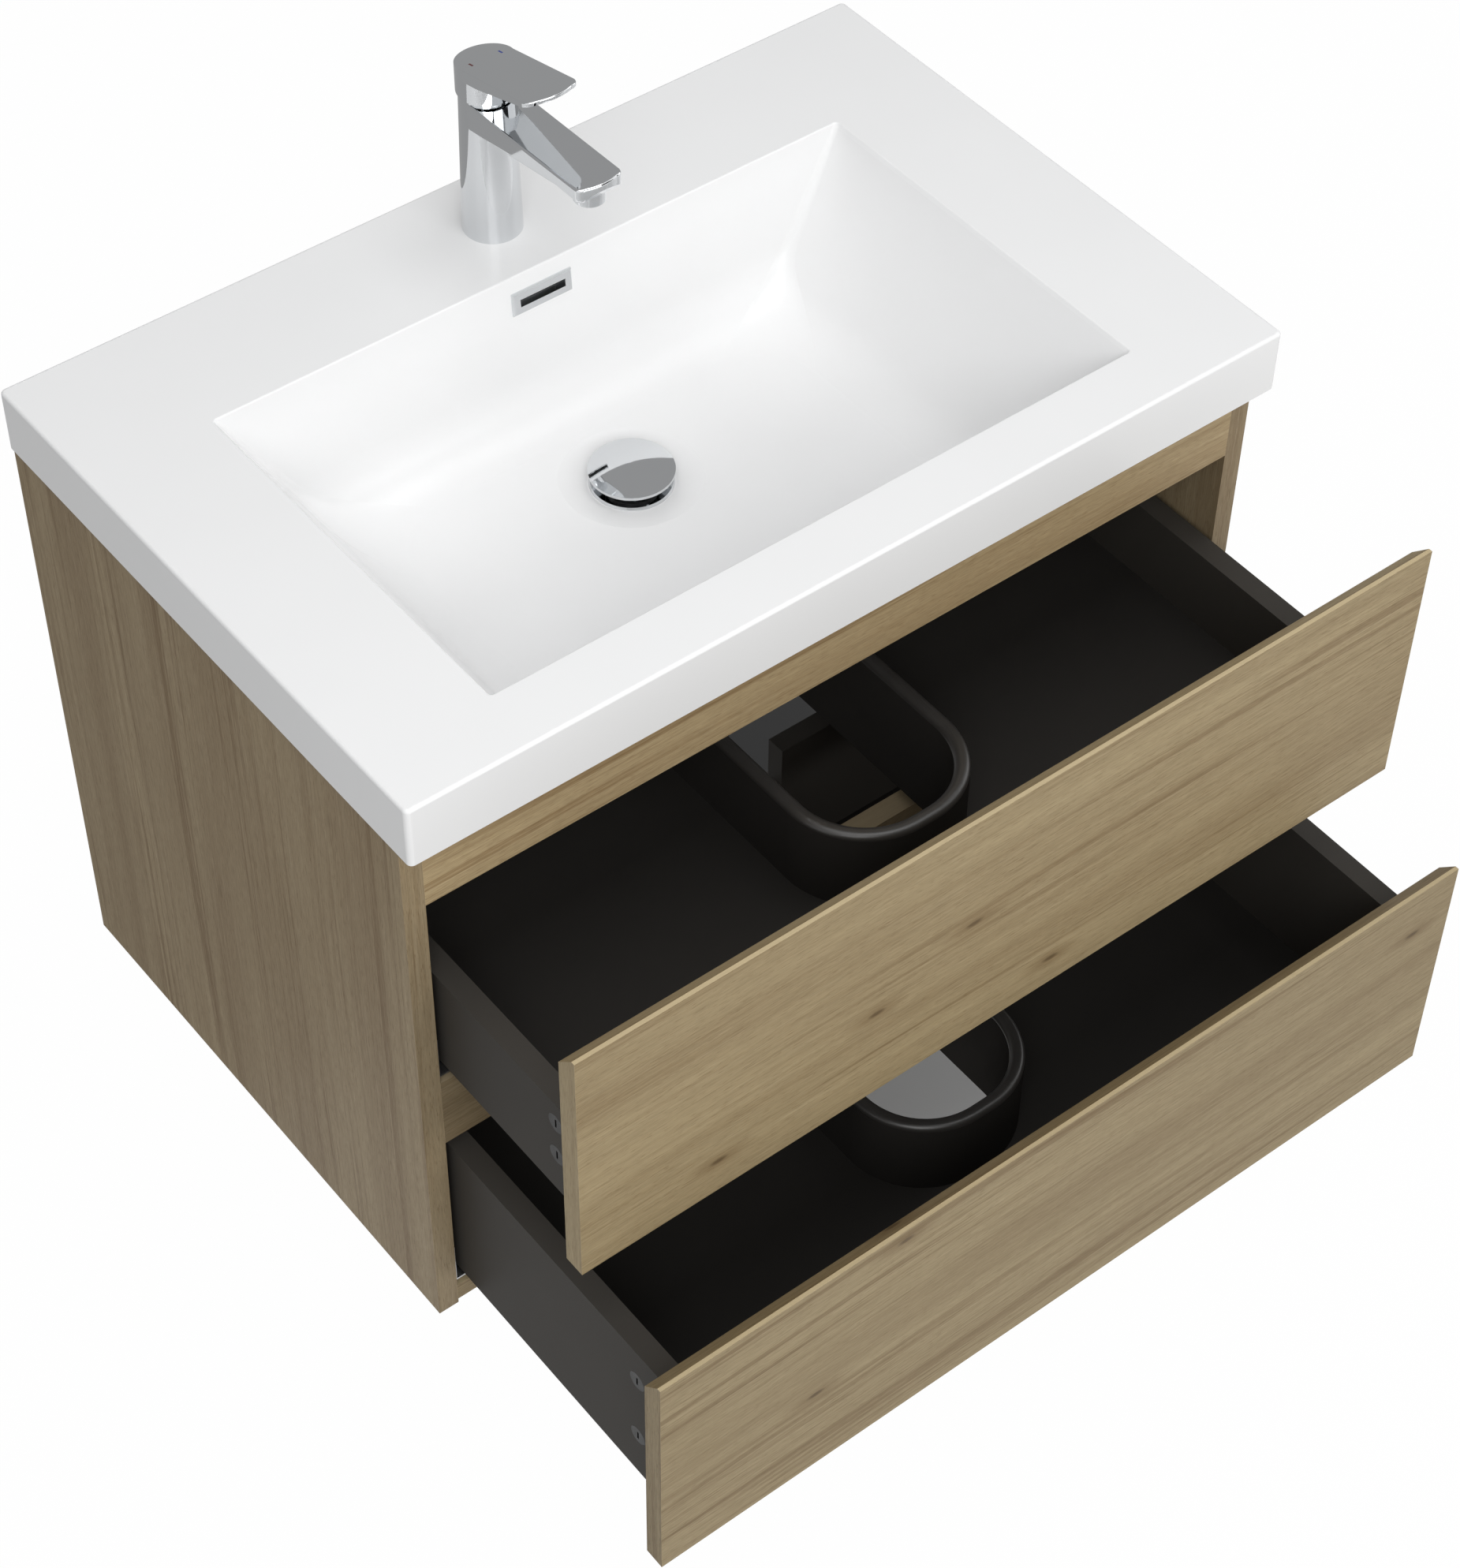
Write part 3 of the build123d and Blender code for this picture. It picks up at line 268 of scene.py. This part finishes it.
def basin_white():
    """Cast mineral with a soft gloss: even white with the faintest flow in its gel coat.
    Its outer arrises and its rim hardly shine, so that they keep their shade."""
    s = Shader("basin white")
    x, y, z = s.place()
    flow = s.noise(s.position(), scale=9.0)
    outer = s.largest(s.math("GREATER_THAN", s.absolute(x), SLAB_HALF_WIDTH - OUTER_BAND),
                      s.math("LESS_THAN", y, SLAB_FRONT + OUTER_BAND),
                      s.math("GREATER_THAN", z, SLAB_TOP - RIM_BAND))
    squarest = s.largest(*(s.absolute(axis) for axis in s.facing()))
    arris = s.math("MULTIPLY", s.math("LESS_THAN", squarest, BASIN_SQUARE), outer)
    s.set(Base_Color=s.mix(flow, srgb(236, 236, 236), srgb(240, 240, 240)), Roughness=0.26,
          Specular_IOR_Level=s.math("MULTIPLY_ADD", arris,
                                    BASIN_ARRIS_SPECULAR - BASIN_SPECULAR, BASIN_SPECULAR))
    return s.owner


def plain(name, colour, roughness, metal=0.0, mottle=0.04, scale=60.0, bump=0.0,
          depth=0.4 * MM, sheen=None):
    """One material with slight mottling of its tone and an optional fine texture."""
    s = Shader(name)
    place = s.position()
    grain = s.noise(place, scale=scale, detail=4.0, rough=0.6)
    s.set(Base_Color=s.mix(grain, toned(colour, 1 - mottle), toned(colour, 1 + mottle)),
          Roughness=s.ramp(grain, (0.3, roughness * 0.93), (0.7, roughness * 1.07)),
          Metallic=metal)
    if sheen:
        s.sheen(*sheen)
    if bump:
        s.bump(s.noise(place, scale=scale * 18), bump, depth)
    return s.owner


def zinc(name):
    """Galvanised strip with drawn lines along the runner."""
    s = Shader(name)
    drawn = s.noise(s.scaled(s.place(), (900.0, 6.0, 900.0)))
    cloud = s.noise(s.position(), scale=40.0, detail=3.0)
    tone = s.mix(cloud, srgb(176, 178, 180), srgb(206, 208, 210))
    lines = s.ramp(drawn, (0.35, 0.35), (0.65, 0.75))
    s.set(Base_Color=s.mix(0.25, tone, lines, blend="OVERLAY"),
          Roughness=s.ramp(drawn, (0.3, 0.30), (0.7, 0.42)), Metallic=1.0)
    return s.owner


def laminate(name, colour, roughness):
    """Anthracite melamine board with its fine pearl texture."""
    s = Shader(name)
    place = s.position()
    pearl = s.noise(place, scale=1500.0)
    cloud = s.noise(place, scale=14.0, detail=3.0)
    s.set(Base_Color=s.mix(cloud, toned(colour, 0.93), toned(colour, 1.07)),
          Roughness=s.ramp(pearl, (0.35, roughness * 0.9), (0.65, roughness * 1.1)))
    s.sheen(0.03, 0.15)
    s.bump(pearl, 0.10, 0.2 * MM)
    return s.owner


TICK_APART = 11.7 * MM          # each tick's middle from the middle of the lever
TICK_BACK = 56.5 * MM           # and from the wall
TICK_HALF_WIDTH, TICK_HALF_LENGTH = 0.7 * MM, 2.3 * MM


def lever_chrome():
    """Chrome with the two painted ticks for hot and cold behind the lever's blade."""
    s = Shader("lever chrome")
    x, y, _ = s.place()
    top = s.math("GREATER_THAN", s.facing()[2], 0.8)

    def tick(middle):
        across = s.math("LESS_THAN", s.absolute(s.math("SUBTRACT", x, middle)), TICK_HALF_WIDTH)
        along = s.math("LESS_THAN", s.absolute(s.math("ADD", y, TICK_BACK)), TICK_HALF_LENGTH)
        return s.math("MULTIPLY", s.math("MULTIPLY", across, along), top)

    hot, cold = tick(-TICK_APART), tick(TICK_APART)
    paint = s.largest(hot, cold)
    wear = s.noise(s.position(), scale=20.0, detail=4.0)
    metal = s.mix(wear, srgb(220, 222, 224), srgb(224, 226, 228))
    colour = s.mix(hot, s.mix(cold, metal, srgb(52, 66, 138)), srgb(92, 34, 34))
    s.set(Base_Color=colour, Metallic=s.math("SUBTRACT", 1.0, paint),
          Roughness=s.math("MULTIPLY_ADD", paint, 0.3, 0.045))
    return s.owner


chrome = plain("chrome", srgb(222, 224, 226), 0.045, metal=1.0, mottle=0.01, scale=20.0)
anthracite = laminate("anthracite board", srgb(64, 61, 57), 0.46)
anthracite_floor = laminate("anthracite floor", srgb(46, 44, 42), 0.5)
siphon_plastic = plain("siphon plastic", srgb(50, 48, 46), 0.36, mottle=0.05, bump=0.12,
                       depth=0.2 * MM, sheen=(0.0, 0.6))
steel = zinc("zinc steel")
# painted shade: the cam fittings are darker than their metal, standing for the shade in their
# holes
cam_metal_darkened_for_shade = plain("cam metal", srgb(36, 36, 36), 0.5, metal=0.4, scale=150.0, bump=0.2)
rubber = plain("black rubber", srgb(34, 34, 34), 0.75, bump=0.15)
brass = plain("brass", srgb(206, 170, 104), 0.28, metal=1.0)
ivory = plain("cartridge plastic", srgb(206, 204, 196), 0.45)
beech = plain("beech", srgb(205, 172, 128), 0.6)


def dress(node, material):
    nodes[node].material_slots[0].material = material


# painted light and shade on single boards: the top rail is lightened where the slab's overhang
# shades it, the middle rail is darkened, and the lower front a little
PAINTED_LIGHT_TINTS = {"top_rail": (1.36, 1.34, 1.36), "middle_rail": (0.74, 0.73, 0.76),
         "lower_front": (0.91, 0.92, 0.93)}
# painted shade: the side panels get a bluer cast that stands for the cool shade on their sides
PANEL_SHADE_TINT = (0.99, 0.99, 1.07)
for seed, node in enumerate(FRONT_BOARDS + REAR_RAILS, start=1):
    dress(node, oak("oak " + node, "X", seed, PAINTED_LIGHT_TINTS.get(node, (1, 1, 1))))
for seed, node in enumerate(SIDE_PANELS, start=11):
    dress(node, oak("oak " + node, "Z", seed, PANEL_SHADE_TINT, contrast=1.1, knotty=0.25))

FINISH = (
    (basin_white(), ("basin_top", "overflow_cover")),
    (chrome, ("overflow_ring", "waste_body", "waste_cap", "faucet_body", "aerator",
              "dome_cover")),
    (lever_chrome(), ("lever",)),
    (rubber, ("waste_cap_seal", "waste_gasket", "faucet_seal")),
    (brass, ("waste_nut", "cartridge_nut")),
    (ivory, ("cartridge_housing", "cartridge_turret")),
    (beech, ("rail_dowels",)),
    (steel, ("lever_screw", "spindle", "faucet_stud", "faucet_clamp", "faucet_nut", "hangers",
             "wall_plates", "carcass_screws")),
)
for material, pieces in FINISH:
    for node in pieces:
        dress(node, material)
for drawer in DRAWERS:
    for piece in BOX_BOARDS:
        dress(f"{drawer}_{piece}", anthracite)
    dress(f"{drawer}_bottom", anthracite_floor)
    dress(f"{drawer}_siphon_wall", siphon_plastic)
    dress(f"{drawer}_cam_fittings", cam_metal_darkened_for_shade)
    for piece in ("rail", "slide", "carrier"):
        for side in ("left", "right"):
            dress(f"{drawer}_runner_{piece}_{side}", steel)


# ------------------------------------------------------------------ soft edges on the boards

OAK_EDGE_WIDTH = 0.8 * MM
BOX_EDGE_WIDTH = 0.5 * MM


def soften(node, width):
    """Rounds the sharp edges of a board, as its edge banding is."""
    modifiers = nodes[node].modifiers
    modifiers.new("weld", "WELD").merge_threshold = 0.01 * MM
    bevel = modifiers.new("bevel", "BEVEL")
    bevel.width = width
    bevel.segments = 2
    bevel.limit_method = "ANGLE"
    bevel.angle_limit = math.radians(35)


for node in FRONT_BOARDS + SIDE_PANELS:
    soften(node, OAK_EDGE_WIDTH)
for drawer in DRAWERS:
    for piece in BOX_BOARDS:
        soften(f"{drawer}_{piece}", BOX_EDGE_WIDTH)


# ------------------------------------------------------------------ floor, world, lamps

FLOOR_HEIGHT = -0.75
FLOOR_HALF = 12.0
FLOOR_WHITEST = 0.985                   # share of plain white where nothing shades the floor
FLOOR_GREY = (0.8, 0.8, 0.8, 1)

# shade on the floor under and behind the object, partly cast by it and partly painted into the
# floor's colour: middles, and how far it reaches along x and y
CAST_AND_PAINTED_SHADE = (0.28, -0.08), (0.34, 0.40)
PAINTED_UNDER_SHADE = (0.30, -0.06), (0.34, 0.40)
PAINTED_SPOT_SHADES = (((0.218, -0.320), (0.125, 0.105)),
               ((0.382, 0.083), (0.130, 0.090)))


def backdrop_rays(g):
    """1 for rays that see the backdrop: from the camera, off gloss or through glass."""
    rays = g.add("ShaderNodeLightPath").outputs
    return g.largest(rays["Is Camera Ray"], rays["Is Glossy Ray"], rays["Is Transmission Ray"])


def white_share(g, middle, reach, clear=0.15, full=2.0, low=0.0):
    """Share of plain white on the floor: low round middle, where the floor shows its cast and
    painted shade, and growing between the squares of two distances, clear and full, in terms of
    reach."""
    squares = []
    for axis, centre, length in zip(g.place(), middle, reach):
        distance = g.math("DIVIDE", g.math("SUBTRACT", axis, centre), length)
        squares.append(g.math("MULTIPLY", distance, distance))
    return g.span(g.math("ADD", *squares), (clear, full), (low, FLOOR_WHITEST), smooth=True)


def sheet(name, corners):
    """A flat four-cornered sheet in the scene."""
    mesh = bpy.data.meshes.new(name)
    mesh.from_pydata(corners, [], [(0, 1, 2, 3)])
    item = bpy.data.objects.new(name, mesh)
    bpy.context.scene.collection.objects.link(item)
    return item


floor = sheet("floor", [(-FLOOR_HALF, -FLOOR_HALF, 0), (FLOOR_HALF, -FLOOR_HALF, 0),
                        (FLOOR_HALF, FLOOR_HALF, 0), (-FLOOR_HALF, FLOOR_HALF, 0)])
floor.location = (0, 0, FLOOR_HEIGHT)

g = Graph(bpy.data.materials.new("floor white"))
# painted shade: the floor's matt colour darkens under the object and towards the wall
painted_wall_shade = g.span(g.place()[1], (-0.15, 0.02), (0.40, 0.07))    # darker towards the wall
matt = g.add("ShaderNodeBsdfDiffuse",
             g.mix(white_share(g, *PAINTED_UNDER_SHADE, clear=0.5, full=1.3), painted_wall_shade, FLOOR_GREY))
glow = g.add("ShaderNodeEmission", WHITE)
white = white_share(g, *CAST_AND_PAINTED_SHADE, clear=0.0, full=1.3, low=0.68)
for middle, reach in PAINTED_SPOT_SHADES:
    white = g.math("MINIMUM", white, white_share(g, middle, reach))
surface = g.add("ShaderNodeMixShader", g.math("MULTIPLY", backdrop_rays(g), white),
                matt.outputs[0], glow.outputs[0])
g.add("ShaderNodeOutputMaterial", surface.outputs[0])
floor.data.materials.append(g.owner)

world = bpy.data.worlds.new("studio")
bpy.context.scene.world = world
g = Graph(world)
lit = g.add("ShaderNodeBackground", (0.98, 0.99, 1, 1), 0.36)
seen = g.add("ShaderNodeBackground", WHITE)
air = g.add("ShaderNodeMixShader", backdrop_rays(g), lit.outputs[0], seen.outputs[0])
g.add("ShaderNodeOutputWorld", air.outputs[0])


def gloss_card(name, y, low, high, tone):
    """Upright card across the studio that only gloss reflects: chrome needs it."""
    card = sheet(name, [(-5, y, low), (5, y, low), (5, y, high), (-5, y, high)])
    for kind in ("camera", "diffuse", "shadow", "transmission"):
        setattr(card, "visible_" + kind, False)
    g = Graph(bpy.data.materials.new(name))
    glow = g.add("ShaderNodeEmission", (tone, tone, tone, 1))
    g.add("ShaderNodeOutputMaterial", glow.outputs[0])
    card.data.materials.append(g.owner)


gloss_card("studio_wall", y=0.02, low=FLOOR_HEIGHT, high=3.4, tone=0.36)
gloss_card("studio_front", y=-4.5, low=0.3, high=6.0, tone=0.02)


def lamp(name, place, target, width, height, power):
    """Soft box aimed at a point."""
    data = bpy.data.lights.new(name, "AREA")
    data.shape = "RECTANGLE"
    data.size, data.size_y = width, height
    data.energy = power
    item = bpy.data.objects.new(name, data)
    item.location = place
    item.rotation_euler = (Vector(target) - Vector(place)).to_track_quat("-Z", "Y").to_euler()
    bpy.context.scene.collection.objects.link(item)


TOP_MIDDLE = (0, -0.3, 0)
lamp("front", (0.3, -3.2, 1.1), (0, -0.3, -0.1), width=2.0, height=1.6, power=34.0)
lamp("top", (0.0, -0.5, 2.6), TOP_MIDDLE, width=2.4, height=1.8, power=25.5)
lamp("left", (-1.5, -2.4, 2.0), TOP_MIDDLE, width=1.6, height=1.4, power=33.0)
lamp("right", (2.8, -0.6, 1.2), TOP_MIDDLE, width=1.6, height=1.4, power=8.0)


# ------------------------------------------------------------------ camera

data = bpy.data.cameras.new("camera")
data.sensor_fit = "AUTO"
data.sensor_width = 36
data.lens = 81.89
data.shift_x = -0.0214
data.shift_y = 0.0261
camera = bpy.data.objects.new("camera", data)
camera.location = (-1.0582, -1.6469, 1.6532)
camera.rotation_euler = Euler([math.radians(a) for a in (41.632, -0.962, -38.333)])
bpy.context.scene.collection.objects.link(camera)
bpy.context.scene.camera = camera
bpy.context.scene.view_settings.view_transform = "Standard"
